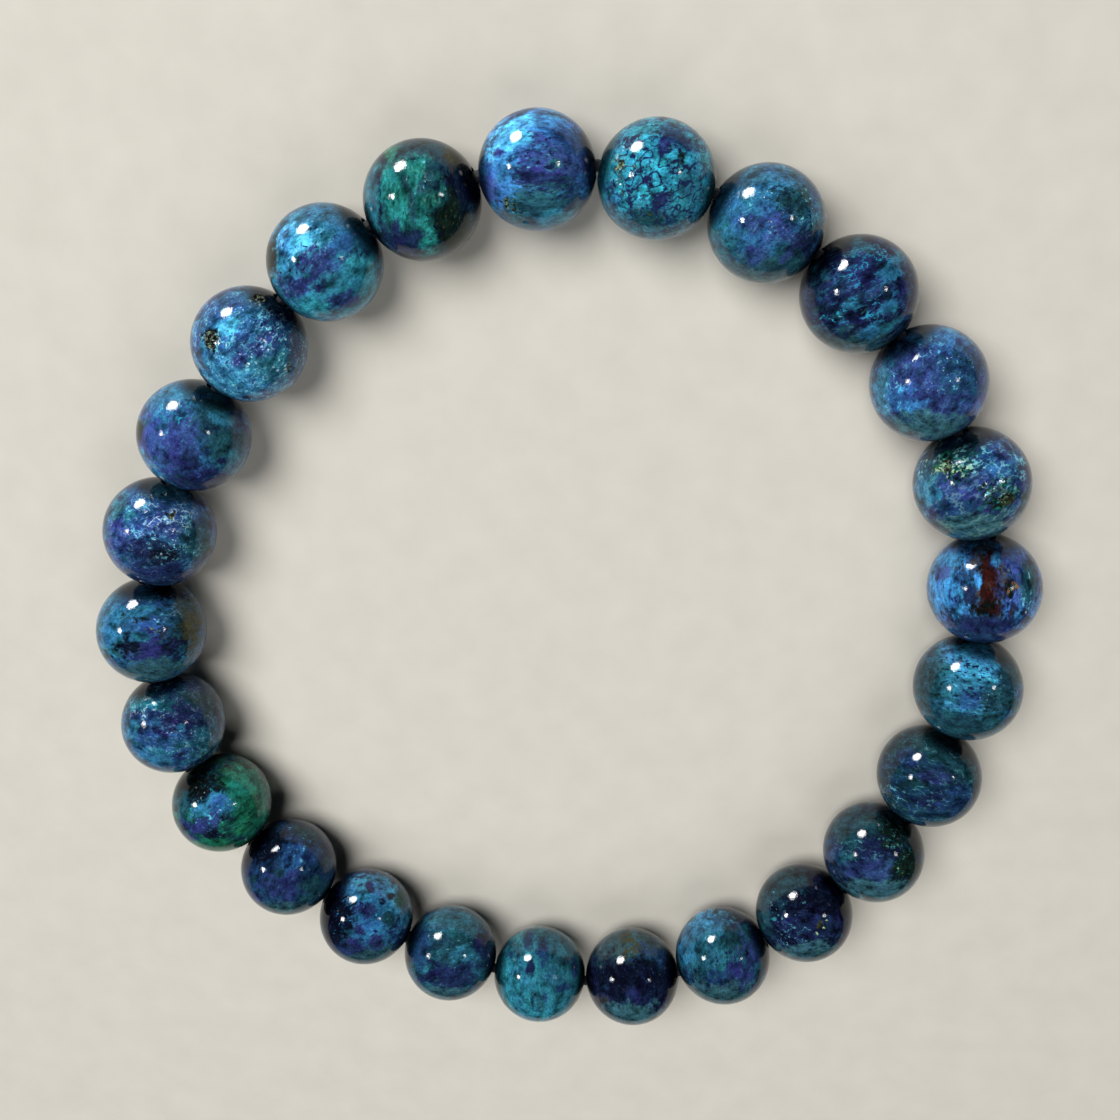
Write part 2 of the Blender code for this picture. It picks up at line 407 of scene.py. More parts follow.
            (AZURE, 0.1, -0.2, 0.45, 0.25),
            (ROYAL, 0.1, -0.22, 0.25, 0.14),
            (AZURE, -0.1, 0.08, 0.3, 0.14),
            (DARK_TEAL, -0.75, 0.0, 0.25, 0.5),
            (DARK_TEAL, 0.55, -0.25, 0.35, 0.25),
            (DARK_TEAL, 0.75, 0.25, 0.2, 0.35),
            (DARK_TEAL, 0.0, -0.72, 0.8, 0.3),
        ),
        specks=(
            ("grains", NAVY, 0.62, 0.3, ((0.0, 0.4, 0.6, 0.4), (0.1, -0.2, 0.5, 0.3))),
            ("grains", GREEN_BLACK, 0.55, 0.3, ((0.5, -0.3, 0.5, 0.3), (-0.6, 0.1, 0.3, 0.4))),
            ("threads", PALE_CYAN, 0.25, 0.1, ((-0.35, 0.7, 0.1, 0.3),)),
            *druzy_and_glints(DRUZY_AND_GLINTS, 0.4, 0.6, ((0.2, 0.0, 0.5, 0.3),)),
        ),
    ),
    dict(  # 9
        ground=(DARK_TEAL, DARK_TEAL, DEEP_BLUE, DARK_TEAL, NAVY),
        streak=(-15, 1.8), tone=0.68,
        patches=(
            (DARK_TEAL, 0.0, 0.65, 0.8, 0.35),
            (INDIGO, 0.1, -0.02, 0.3, 0.15),
            (NAVY, 0.05, -0.45, 0.35, 0.2),
            (DEEP_BLUE, -0.35, 0.35, 0.25, 0.15),
            (DARK_TEAL, 0.65, 0.15, 0.25, 0.3),
            (DEEP_BLUE, 0.5, -0.45, 0.3, 0.2, 30),
        ),
        specks=(
            ("grains", GREEN_BLACK, 0.45, 0.4, ((0.67, 0.15, 0.3, 0.4),)),
            ("threads", MIST, 0.65, 0.3, ((-0.6, -0.35, 0.4, 0.3), (-0.1, -0.27, 0.3, 0.12),
                                          (0.3, 0.35, 0.3, 0.12))),
            *druzy_and_glints(PALE_CYAN, 0.35, 0.35, ((-0.6, -0.3, 0.4, 0.5), (0.5, 0.1, 0.4, 0.4)),
                     elsewhere=0.2),
        ),
    ),
    dict(  # 10
        ground=(TEAL, DARK_TEAL, NAVY, NAVY, GREEN_BLACK),
        streak=(-10, 1.4), tone=0.83,
        patches=(
            (DARK_TEAL, -0.3, 0.5, 0.6, 0.4),
            (NAVY, 0.1, 0.1, 0.35, 0.25),
            (INDIGO, -0.2, -0.35, 0.45, 0.2),
            (GREEN_BLACK, 0.4, 0.4, 0.35, 0.3, -30),
            (GREEN_BLACK, 0.6, -0.25, 0.25, 0.45, -30),
            (RIM_SHADE_AND_SHEEN, 0.0, -0.78, 0.8, 0.22),
            (DEEP_BLUE, -0.8, -0.05, 0.15, 0.3),
        ),
        specks=(
            ("grains", SEA_GREEN, 0.36, 0.1, ((0.4, 0.4, 0.4, 0.35), (0.6, -0.3, 0.3, 0.4))),
            ("threads", MIST, 0.4, 0.12, ((-0.3, 0.0, 0.4, 0.3), (0.4, 0.4, 0.3, 0.3))),
            ("glitter", GOLD_GREEN, 0.35, 0.08, ((0.45, 0.4, 0.35, 0.35), (0.55, -0.3, 0.3, 0.4))),
        ),
    ),
    dict(  # 11
        ground=(DARK_TEAL, NAVY, INK, NAVY, INDIGO),
        streak=(0, 1.2), tone=0.78,
        patches=(
            (DARK_TEAL, -0.4, 0.55, 0.55, 0.35, 10),
            (DARK_TEAL, -0.85, 0.0, 0.14, 0.4),
            (INK, 0.2, 0.1, 0.5, 0.4),
            (NAVY, 0.1, -0.3, 0.5, 0.25),
            (RIM_SHADE_AND_SHEEN, 0.0, -0.82, 0.8, 0.2),
            (TEAL, -0.63, -0.14, 0.06, 0.05),
            (OLIVE, 0.3, -0.25, 0.04, 0.06),
        ),
        specks=(
            ("threads", PALE_CYAN, 0.25, 0.1, ((-0.2, -0.4, 0.4, 0.2),)),
            ("grains", MIST, 0.36, 0.0, ((-0.15, -0.42, 0.35, 0.14), (-0.5, -0.05, 0.2, 0.16))),
            ("grains", GOLD_GREEN, 0.28, 0.0, ((0.3, -0.25, 0.1, 0.14),)),
            *druzy_and_glints(PALE_CYAN, 0.3, 0.25, ((-0.4, 0.2, 0.5, 0.4),)),
        ),
    ),
    dict(  # 12
        ground=(DARK_TEAL, TEAL, DEEP_BLUE, NAVY, DARK_TEAL),
        streak=(80, 1.4), tone=0.72,
        patches=(
            (TEAL, -0.2, 0.1, 0.5, 0.45),
            (AZURE, -0.35, 0.62, 0.5, 0.35, 20),
            (BRIGHT_AZURE, -0.38, 0.75, 0.25, 0.18, 20),
            (AZURE, -0.75, 0.2, 0.22, 0.4),
            (RIM_SHADE_AND_SHEEN, 0.0, -0.8, 0.9, 0.3),
            (DARK_TEAL, 0.2, 0.3, 0.22, 0.3),
            (VIOLET, 0.6, 0.2, 0.25, 0.4, -20),
            (INDIGO, 0.38, -0.36, 0.3, 0.2, 20),
            (DEEP_BLUE, -0.15, -0.42, 0.25, 0.14),
            (TEAL, -0.4, -0.2, 0.25, 0.2),
        ),
        specks=(
            ("grains", DEEP_GREEN, 0.5, 0.2, ((0.2, 0.3, 0.3, 0.3), (-0.15, -0.42, 0.25, 0.2))),
            ("grains", NAVY, 0.45, 0.3, ((0.2, 0.0, 0.6, 0.6),)),
            *druzy_and_glints(DRUZY_AND_GLINTS, 0.5, 0.6, ((0.12, 0.77, 0.25, 0.14),)),
            ("grains", OCHRE, 0.3, 0.0, ((0.12, 0.77, 0.2, 0.1), (0.3, 0.1, 0.12, 0.12))),
        ),
    ),
    dict(  # 13
        ground=(DARK_TEAL, NAVY, INK, NAVY, BROWN_GREY),
        streak=(90, 1.3), tone=0.88,
        patches=(
            # The greyed teal band and the olive blots at the top are painted reflection.
            (RIM_SHADE_AND_SHEEN, 0.0, 0.7, 0.95, 0.42),
            (DEEP_BLUE, 0.5, 0.42, 0.3, 0.2, -20),
            (INK, 0.0, 0.0, 0.85, 0.35),
            (NAVY, 0.1, -0.45, 0.3, 0.2),
            (RIM_SHADE_AND_SHEEN, 0.0, -0.8, 0.8, 0.24),
        ),
        specks=(
            ("blots", OLIVE, 0.9, 0.0, ((-0.05, 0.65, 0.25, 0.25),)),
            ("blots", DARK_TEAL, 0.5, 0.0, ((0.3, 0.65, 0.25, 0.2), (-0.5, 0.6, 0.3, 0.2))),
            ("grains", DEEP_BLUE, 0.4, 0.4, ((0.3, 0.3, 0.5, 0.4),)),
            *druzy_and_glints(PALE_CYAN, 0.3, 0.2, ((0.3, 0.6, 0.3, 0.2),)),
        ),
    ),
    dict(  # 14
        ground=(DARK_TEAL, TEAL, TURQUOISE, TURQUOISE, TEAL),
        streak=(85, 1.35), tone=0.78,
        patches=(
            (TURQUOISE, -0.65, -0.1, 0.3, 0.5),
            (TEAL, 0.4, 0.1, 0.5, 0.5),
            (TEAL, 0.33, 0.65, 0.4, 0.25, -20),
            (TEAL, 0.62, -0.45, 0.3, 0.3),
            (DEEP_BLUE, -0.25, 0.72, 0.12, 0.2),
            (DEEP_BLUE, 0.08, 0.5, 0.12, 0.3, 10),
            (NAVY, -0.2, 0.12, 0.06, 0.15),
            (DEEP_BLUE, 0.48, -0.3, 0.16, 0.08, 20),
            (DEEP_BLUE, -0.2, -0.54, 0.04, 0.12),
            (DEEP_BLUE, 0.1, -0.5, 0.04, 0.1),
            (DEEP_BLUE, -0.62, 0.39, 0.06, 0.08),
            (DARK_TEAL, 0.5, 0.25, 0.2, 0.1),
            (DEEP_BLUE, 0.75, 0.1, 0.1, 0.2),
        ),
        specks=(
            ("blots", DEEP_BLUE, 0.36, 0.5, ((0.0, 0.0, 0.6, 0.7),)),
            ("grains", NAVY, 0.36, 0.4, ((0.0, 0.0, 0.6, 0.7),)),
            ("grains", SEA_GREEN, 0.4, 0.3, ((0.4, 0.5, 0.5, 0.4),)),
        ),
    ),
    dict(  # 15
        ground=(DARK_TEAL, TEAL, DARK_TEAL, DEEP_BLUE, NAVY),
        streak=(15, 1.4), tone=0.9,
        patches=(
            (TEAL, 0.05, 0.6, 0.7, 0.4),
            (DARK_TEAL, 0.1, 0.1, 0.5, 0.35),
            (NAVY, -0.1, -0.5, 0.55, 0.3),
            (NAVY, 0.72, 0.05, 0.2, 0.4),
            (DEEP_BLUE, -0.7, 0.1, 0.25, 0.4),
            (TEAL, -0.5, -0.34, 0.08, 0.06),
            (TEAL, 0.3, -0.05, 0.3, 0.16),
            (RIM_SHADE_AND_SHEEN, 0.0, -0.86, 0.7, 0.16),
        ),
        specks=(
            ("grains", SEA_GREEN, 0.42, 0.25, ((0.15, 0.65, 0.5, 0.35),)),
            ("grains", NAVY, 0.45, 0.4, ((0.0, 0.0, 0.6, 0.5),)),
            *druzy_and_glints(PALE_CYAN, 0.3, 0.2, ((0.1, 0.1, 0.5, 0.4),)),
        ),
    ),
    dict(  # 16
        ground=(TEAL, AZURE, DEEP_BLUE, INDIGO, DARK_TEAL),
        streak=(20, 1.3), tone=0.62,
        patches=(
            (BRIGHT_AZURE, 0.18, 0.38, 0.6, 0.5, -20),
            (SKY_BLUE, 0.1, 0.2, 0.35, 0.3),
            (SKY_BLUE, 0.0, -0.15, 0.5, 0.4),
            (INK, -0.65, -0.05, 0.4, 0.6),
            (RIM_SHADE_AND_SHEEN, 0.0, -0.8, 0.8, 0.22),
            (INDIGO, -0.3, -0.62, 0.3, 0.14),
            (PURPLE, 0.04, 0.58, 0.12, 0.12),
            (PURPLE, 0.0, 0.1, 0.2, 0.15),
            (PURPLE, -0.15, -0.28, 0.12, 0.1),
            (PURPLE, -0.27, -0.56, 0.14, 0.12),
            (PURPLE, 0.2, -0.53, 0.18, 0.15, 20),
            (NAVY, 0.48, 0.42, 0.09, 0.07),
            (DARK_TEAL, 0.45, -0.06, 0.14, 0.16),
            (SEA_GREEN, 0.72, 0.35, 0.14, 0.2),
            (NAVY, 0.3, 0.3, 0.07, 0.06),
        ),
        specks=(
            ("blots", NAVY, 0.3, 0.5, ((0.0, 0.0, 0.6, 0.6),)),
            ("grains", NAVY, 0.4, 0.4, ((0.2, 0.3, 0.6, 0.5),)),
            ("grains", CYAN, 0.32, 0.2, ((-0.1, -0.1, 0.5, 0.4),)),
            *druzy_and_glints(DRUZY_AND_GLINTS, 0.35, 0.3, ((0.5, 0.3, 0.35, 0.35),)),
        ),
    ),
    dict(  # 17
        ground=(DARK_TEAL, NAVY, DEEP_BLUE, DEEP_BLUE, DARK_TEAL),
        streak=(60, 1.4), tone=0.71,
        patches=(
            (DEEP_BLUE, 0.15, 0.2, 0.4, 0.45, -30),
            (ROYAL, 0.1, 0.22, 0.25, 0.25, -30),
            (INDIGO, -0.1, -0.38, 0.45, 0.22, 10),
            (INK, -0.5, 0.45, 0.38, 0.42, 20),
            (DARK_TEAL, 0.3, 0.72, 0.3, 0.14, -30),
            (DARK_TEAL, 0.55, -0.4, 0.25, 0.3, 30),
            (RIM_SHADE_AND_SHEEN, 0.0, -0.86, 0.7, 0.15),
        ),
        specks=(
            ("grains", ROYAL, 0.4, 0.2, ((0.15, 0.2, 0.4, 0.4),)),
            ("grains", OLIVE, 0.4, 0.0, ((0.72, 0.3, 0.14, 0.28, -10),)),
            ("grains", GREEN_BLACK, 0.4, 0.3, ((0.4, 0.4, 0.4, 0.4),)),
            *druzy_and_glints(PALE_CYAN, 0.45, 0.6, ((0.1, 0.4, 0.4, 0.4),)),
        ),
    ),
    dict(  # 18
        ground=(MALACHITE, DEEP_GREEN, DARK_TEAL, NAVY, MATRIX_BLACK),
        streak=(40, 1.3), tone=1.0,
        patches=(
            (DEEP_GREEN, 0.45, 0.35, 0.55, 0.6),
            (MALACHITE, 0.42, 0.35, 0.35, 0.4, -20),
            (MATRIX_BLACK, -0.48, 0.39, 0.4, 0.3, 30),
            (AZURE, -0.27, -0.08, 0.35, 0.16, 35),
            (ROYAL, -0.05, -0.06, 0.2, 0.2),
            (INDIGO, -0.35, -0.42, 0.35, 0.2, 20),
            (INK, -0.06, -0.62, 0.3, 0.14),
            (DEEP_GREEN, 0.5, -0.3, 0.4, 0.35, 30),
            (DARK_TEAL, -0.8, 0.0, 0.16, 0.3),
            (DEEP_GREEN, 0.0, -0.86, 0.7, 0.14),
            (MALACHITE, 0.8, 0.05, 0.14, 0.4),
        ),
        specks=(
            ("blots", MATRIX_BLACK, 0.4, 0.2, ((-0.45, 0.35, 0.45, 0.4), (0.4, -0.35, 0.5, 0.3))),
            ("grains", GREEN_BLACK, 0.5, 0.15, ((0.4, -0.3, 0.5, 0.35), (-0.5, 0.4, 0.4, 0.4))),
            ("grains", CYAN, 0.45, 0.05, ((-0.25, -0.1, 0.35, 0.3),)),
            *druzy_and_glints(DRUZY_AND_GLINTS, 0.5, 0.4, ((-0.2, -0.1, 0.4, 0.3),)),
        ),
    ),
    dict(  # 19
        ground=(TEAL, TEAL, ROYAL, INDIGO, DARK_TEAL),
        streak=(-10, 1.25), tone=0.66,
        patches=(
            (AZURE, -0.85, 0.05, 0.2, 0.4),
            (CYAN, -0.55, 0.35, 0.3, 0.22, 20),
            (DEEP_BLUE, 0.0, 0.75, 0.7, 0.25),
            (DARK_TEAL, 0.45, 0.35, 0.4, 0.3),
            (PURPLE, 0.06, -0.03, 0.5, 0.36),
            (ROYAL, -0.2, -0.35, 0.35, 0.2),
            (PURPLE, -0.72, 0.12, 0.14, 0.1),
            (AZURE, 0.14, -0.1, 0.1, 0.08),
            (TEAL, 0.62, -0.38, 0.3, 0.3),
            (AZURE, -0.4, -0.65, 0.4, 0.16, -20),
            (ROYAL, -0.45, 0.02, 0.2, 0.12),
        ),
        specks=(
            ("threads", DRUZY_AND_GLINTS, 0.6, 0.1, ((-0.55, 0.35, 0.35, 0.25),)),
            ("grains", PALE_CYAN, 0.36, 0.12, ((0.46, -0.55, 0.3, 0.2), (-0.5, 0.35, 0.35, 0.3))),
            ("grains", NAVY, 0.45, 0.45, ((0.0, 0.0, 0.7, 0.6),)),
            *druzy_and_glints(DRUZY_AND_GLINTS, 0.6, 0.6, ((-0.5, 0.35, 0.4, 0.3), (0.4, -0.4, 0.5, 0.4)), elsewhere=0.15),
        ),
    ),
    dict(  # 20
        ground=(DARK_TEAL, TEAL, AZURE, ROYAL, OLIVE),
        streak=(5, 1.45), tone=0.8,
        patches=(
            (AZURE, -0.5, 0.45, 0.6, 0.5, 20),
            (ROYAL, 0.1, 0.5, 0.3, 0.25),
            (ROYAL, -0.08, 0.08, 0.5, 0.16),
            (DARK_TEAL, 0.65, 0.1, 0.35, 0.5),
            # The ink at the top right is painted shadow of the next bead, and the olive at the right edge
            # is painted reflection.
            (INK, 0.3, 0.72, 0.35, 0.2, -20),
            (OLIVE, 0.7, 0.05, 0.2, 0.3),
            (INK, 0.05, -0.35, 0.5, 0.25),
            (PURPLE, -0.1, -0.35, 0.4, 0.25),
            (INK, -0.45, -0.32, 0.25, 0.2),
            (RIM_SHADE_AND_SHEEN, 0.0, -0.8, 0.7, 0.2),
            (AZURE, -0.75, 0.0, 0.2, 0.25),
        ),
        specks=(
            ("grains", OLIVE, 0.42, 0.1, ((0.65, 0.1, 0.35, 0.45), (-0.35, 0.2, 0.4, 0.1))),
            ("blots", GREEN_BLACK, 0.6, 0.05, ((-0.35, 0.2, 0.4, 0.07, 5), (-0.6, -0.35, 0.2, 0.14))),
            ("grains", GOLD_GREEN, 0.42, 0.0, ((0.14, -0.06, 0.12, 0.1),)),
            ("grains", GREEN_BLACK, 0.42, 0.2, ((0.5, 0.0, 0.5, 0.5),)),
            ("threads", DRUZY_AND_GLINTS, 0.25, 0.0, ((0.38, 0.29, 0.16, 0.14),)),
            *druzy_and_glints(DRUZY_AND_GLINTS, 0.4, 0.6, ((-0.1, 0.3, 0.4, 0.3),)),
        ),
    ),
    dict(  # 21
        ground=(DARK_TEAL, ROYAL, DEEP_BLUE, NAVY, TEAL),
        streak=(10, 1.3), tone=1.15,
        patches=(
            (ROYAL, 0.0, 0.4, 0.8, 0.5),
            (TEAL, -0.66, 0.36, 0.25, 0.25),
            (VIOLET, 0.1, 0.18, 0.3, 0.25),
            (VIOLET, -0.65, -0.1, 0.3, 0.25),
            (NAVY, -0.15, -0.38, 0.5, 0.25),
            (INK, 0.05, -0.45, 0.3, 0.14),
            (DARK_TEAL, 0.6, -0.14, 0.3, 0.4),
            (NAVY, 0.0, -0.82, 0.8, 0.2),
            (AZURE, 0.2, 0.75, 0.5, 0.16),
        ),
        specks=(
            ("net", DRUZY_AND_GLINTS, 0.6, 0.02, ((0.1, 0.38, 0.42, 0.36),)),
            ("threads", PALE_CYAN, 0.45, 0.1, ((-0.25, 0.2, 0.4, 0.4), (0.3, -0.35, 0.4, 0.25))),
            ("grains", NAVY, 0.45, 0.4, ((0.0, 0.0, 0.6, 0.5),)),
            *druzy_and_glints(DRUZY_AND_GLINTS, 0.65, 0.6, ((0.0, 0.2, 0.7, 0.6),), elsewhere=0.18),
        ),
        pits=((-0.28, 0.38, 0.06, 0.12), (-0.36, -0.03, 0.06, 0.12), (0.06, 0.66, 0.05, 0.1),
              (0.2, 0.3, 0.12, 0.1)),
    ),
    dict(  # 22
        ground=(TEAL, AZURE, ROYAL, INDIGO, DARK_TEAL),
        streak=(60, 1.15), tone=1.12,
        patches=(
            (AZURE, -0.1, 0.65, 0.8, 0.4),
            (VIOLET, -0.72, 0.0, 0.22, 0.4),
            (VIOLET, -0.13, 0.1, 0.4, 0.35),
            (DARK_TEAL, 0.35, 0.35, 0.4, 0.35, -20),
            (DARK_TEAL, 0.5, -0.15, 0.45, 0.5),
            (TEAL, 0.45, 0.3, 0.2, 0.14, -30),
            (INDIGO, -0.25, -0.36, 0.35, 0.3),
            (NAVY, -0.1, -0.5, 0.2, 0.14),
            (TEAL, 0.6, -0.5, 0.25, 0.2),
            (NAVY, 0.47, -0.44, 0.08, 0.08),
            (GREEN_BLACK, -0.93, 0.08, 0.1, 0.2),
            (NAVY, 0.1, -0.82, 0.7, 0.2),
        ),
        specks=(
            ("grains", ROYAL, 0.4, 0.25, ((-0.5, 0.3, 0.5, 0.5),)),
            ("grains", CYAN, 0.55, 0.0, ((-0.55, 0.38, 0.16, 0.14), (-0.25, 0.3, 0.16, 0.12))),
            ("grains", GREEN_BLACK, 0.42, 0.15, ((0.5, 0.0, 0.4, 0.6),)),
            *druzy_and_glints(DRUZY_AND_GLINTS, 0.35, 0.6, ((-0.4, 0.4, 0.4, 0.3),)),
        ),
    ),
    dict(  # 23
        ground=(TEAL, ROYAL, AZURE, ROYAL, INDIGO),
        streak=(45, 1.3), tone=1.0,
        patches=(
            (ROYAL, -0.5, 0.4, 0.6, 0.5),
            (BRIGHT_AZURE, -0.38, 0.3, 0.2, 0.16),
            (INDIGO, 0.1, -0.1, 0.5, 0.22, 40),
            (VIOLET, 0.05, -0.12, 0.35, 0.14, 40),
            (TEAL, 0.35, -0.4, 0.4, 0.25),
            (PURPLE, 0.63, 0.5, 0.25, 0.3),
            (DEEP_BLUE, 0.75, 0.0, 0.2, 0.4),
            (AZURE, -0.35, -0.65, 0.4, 0.25),
            (MATRIX_BLACK, -0.63, 0.07, 0.14, 0.22),
            (MATRIX_BLACK, 0.17, 0.76, 0.16, 0.08),
            (MATRIX_BLACK, 0.66, -0.43, 0.08, 0.06),
        ),
        specks=(
            ("grains", OCHRE, 0.5, 0.0, ((-0.63, 0.07, 0.2, 0.28), (0.17, 0.76, 0.2, 0.12),
                                         (0.66, -0.43, 0.12, 0.1))),
            ("grains", CYAN, 0.45, 0.5, ((-0.3, 0.3, 0.6, 0.6),)),
            ("grains", NAVY, 0.5, 0.6, ((0.3, 0.2, 0.5, 0.5),)),
            ("threads", PALE_CYAN, 0.9, 0.45, ((0.3, 0.4, 0.3, 0.3), (-0.5, 0.2, 0.3, 0.4))),
            ("glitter", DRUZY_AND_GLINTS, 0.8, 0.5, ((0.3, 0.48, 0.4, 0.3), (0.3, -0.3, 0.4, 0.4))),
            ("flecks", PALE_CYAN, 0.6, 0.45, ((0.3, 0.48, 0.4, 0.3), (0.3, -0.3, 0.4, 0.4))),
        ),
        pits=((-0.63, 0.07, 0.16, 0.2), (0.17, 0.76, 0.12, 0.16), (0.66, -0.43, 0.07, 0.14)),
    ),
    dict(  # 24
        ground=(DARK_TEAL, AZURE, AZURE, TURQUOISE, INDIGO),
        streak=(40, 1.5), tone=0.98,
        patches=(
            (AZURE, -0.2, 0.6, 0.8, 0.45),
            (BRIGHT_AZURE, -0.5, 0.38, 0.25, 0.2, 20),
            (INDIGO, -0.35, -0.3, 0.6, 0.2, 40),
            (VIOLET, -0.05, 0.0, 0.35, 0.2, 40),
            (INDIGO, -0.2, -0.12, 0.3, 0.18, 60),
            (ROYAL, 0.3, 0.35, 0.3, 0.2, 20),
            (NAVY, 0.5, 0.1, 0.25, 0.12, 20),
            (TURQUOISE, 0.6, -0.35, 0.45, 0.5),
            (INDIGO, 0.25, -0.62, 0.35, 0.12, 10),
            (TEAL, 0.1, -0.3, 0.2, 0.14),
            (TURQUOISE, -0.3, -0.75, 0.4, 0.2),
            (GREEN_BLACK, -0.92, 0.1, 0.12, 0.3),
        ),
        specks=(
            ("grains", NAVY, 0.48, 0.15, ((-0.3, 0.1, 0.6, 0.5),)),
            ("grains", GREEN_BLACK, 0.48, 0.05, ((-0.6, -0.4, 0.3, 0.4),)),
            ("glitter", GOLD_GREEN, 0.55, 0, ((-0.6, -0.42, 0.3, 0.25),)),
            ("threads", PALE_CYAN, 0.5, 0.03, ((-0.4, 0.45, 0.5, 0.35),)),
            *druzy_and_glints(DRUZY_AND_GLINTS, 0.6, 0.6, ((-0.4, 0.4, 0.5, 0.4),)),
        ),
    ),
    dict(  # 25
        ground=(SEA_GREEN, DARK_TEAL, DARK_TEAL, NAVY, GREEN_BLACK),
        streak=(80, 1.5), tone=0.97,
        patches=(
            (DARK_TEAL, 0.0, 0.82, 0.7, 0.2),
            (TEAL, -0.85, 0.1, 0.16, 0.5),
            (SEA_GREEN, -0.2, 0.1, 0.45, 0.5),
            (JADE_TEAL, -0.48, 0.33, 0.14, 0.35, -10),
            (JADE_TEAL, -0.4, -0.15, 0.16, 0.2),
            (JADE_TEAL, -0.1, 0.4, 0.14, 0.25, -20),
            (DARK_TEAL, -0.2, 0.0, 0.08, 0.45, 15),
            (MALACHITE, -0.5, 0.75, 0.14, 0.12),
            (JADE_TEAL, 0.05, -0.5, 0.16, 0.32),
            (INK, 0.6, 0.25, 0.3, 0.5, -20),
            (GREEN_BLACK, 0.4, -0.2, 0.3, 0.3),
            (DARK_TEAL, 0.1, 0.35, 0.1, 0.3, -25),
            (NAVY, -0.4, -0.62, 0.3, 0.25, 30),
            (OLIVE, 0.55, 0.7, 0.2, 0.14, -30),
            (GREEN_BLACK, 0.5, -0.55, 0.3, 0.25),
        ),
        specks=(
            ("grains", GREEN_BLACK, 0.45, 0.2, ((0.2, -0.1, 0.6, 0.6),)),
            ("grains", DEEP_GREEN, 0.36, 0.2, ((-0.2, 0.1, 0.5, 0.5),)),
            ("blots", INK, 0.36, 0.2, ((0.2, 0.0, 0.5, 0.6),)),
            ("grains", OLIVE, 0.38, 0.05, ((0.5, 0.65, 0.3, 0.2), (0.4, -0.2, 0.2, 0.3))),
            ("threads", GOLD_GREEN, 0.22, 0.03, ((-0.1, 0.25, 0.3, 0.3),)),
            *druzy_and_glints(DRUZY_AND_GLINTS, 0.35, 0.6, ((-0.2, 0.3, 0.4, 0.4),)),
        ),
    ),
)

# Textures of the specks: (size of the features in mm, detail, level at density 0, level at density 1,
# softness). Threads and curls are thin contours of a noise, and a net is the edges between cells.
SPECK_KINDS = {
    # glitter and flecks are pale specks: partly druzy, partly painted glints
    "glitter": (0.17, 1.5, 0.78, 0.58, 0.07),
    "flecks": (0.38, 2.5, 0.72, 0.55, 0.09),
    "grains": (0.28, 3.0, 0.74, 0.44, 0.04),
    "blots": (0.62, 3.5, 0.72, 0.42, 0.05),
    "threads": (0.75, 2.5, 0.0, 0.03, 0.01),
    "curls": (0.75, 0.5, 0.0, 0.05, 0.03),
    "net": (0.45, 0.0, 0.0, 0.09, 0.05),
}
SPECK_EDGES = (1.5, 0.5)
BROKEN = (0.45, 0.57)  # thin kinds show only where the shade noise is high

BEAD_NODES = [f"bead_{number:02d}" for number in range(1, len(BEADS) + 1)]


def region(tree, where, place, edges):
    """How far inside one patch a point of the stone is, from 0 to 1. Edges are the distances, in
    half widths of the patch, at which it starts and is whole."""
    right, up, half_width, half_height = place[:4]
    turn = place[4] if len(place) > 4 else 0.0
    near = math.sqrt(max(0.0, 1.0 - right ** 2 - up ** 2))
    local = add(tree, "ShaderNodeMapping", {
        "Vector": where,
        "Location": (right, up, near),
        "Rotation": (0.0, 0.0, math.radians(turn)),
        "Scale": (half_width, half_height, PATCH_DEPTH),
    }, vector_type="TEXTURE")
    reach = add(tree, "ShaderNodeVectorMath", {0: local.outputs[0]}, operation="LENGTH")
    return remap(tree, reach.outputs["Value"], edges[0], edges[1], curve="SMOOTHSTEP")


def add_specks(tree, metres, where, shade, unshaded, colour, speck):
    """Lays one kind of fine speck over the colour, strongest in its own places."""
    kind, tint, density, elsewhere, places = speck
    size_mm, detail, sparse, dense, softness = SPECK_KINDS[kind]
    level = sparse + (dense - sparse) * density
    if kind == "net":
        cells = add(tree, "ShaderNodeTexVoronoi", {
            "Vector": metres, "Scale": 1 / (size_mm * MM),
        }, feature="DISTANCE_TO_EDGE")
        value = cells.outputs["Distance"]
    else:
        value = clouds(tree, metres, size_mm, detail).outputs["Fac"]
    if kind in ("threads", "curls"):
        value = maths(tree, "ABSOLUTE", maths(tree, "SUBTRACT", value, 0.5))
    side = -softness if kind in ("threads", "curls", "net") else softness
    shown = remap(tree, value, level, level + side)

    inside = region(tree, where, places[0], SPECK_EDGES)
    for place in places[1:]:
        inside = maths(tree, "MAXIMUM", inside, region(tree, where, place, SPECK_EDGES))
    strength = remap(tree, inside, 0.0, 1.0, low=elsewhere)
    # Specks fade out in the painted shade at the joints.
    share = maths(tree, "MULTIPLY", maths(tree, "MULTIPLY", shown, strength), unshaded)
    if kind in ("threads", "net", "flecks", "glitter"):
        share = maths(tree, "MULTIPLY", share, remap(tree, shade, BROKEN[0], BROKEN[1]))
    return cover(tree, colour, linear(tint), share)


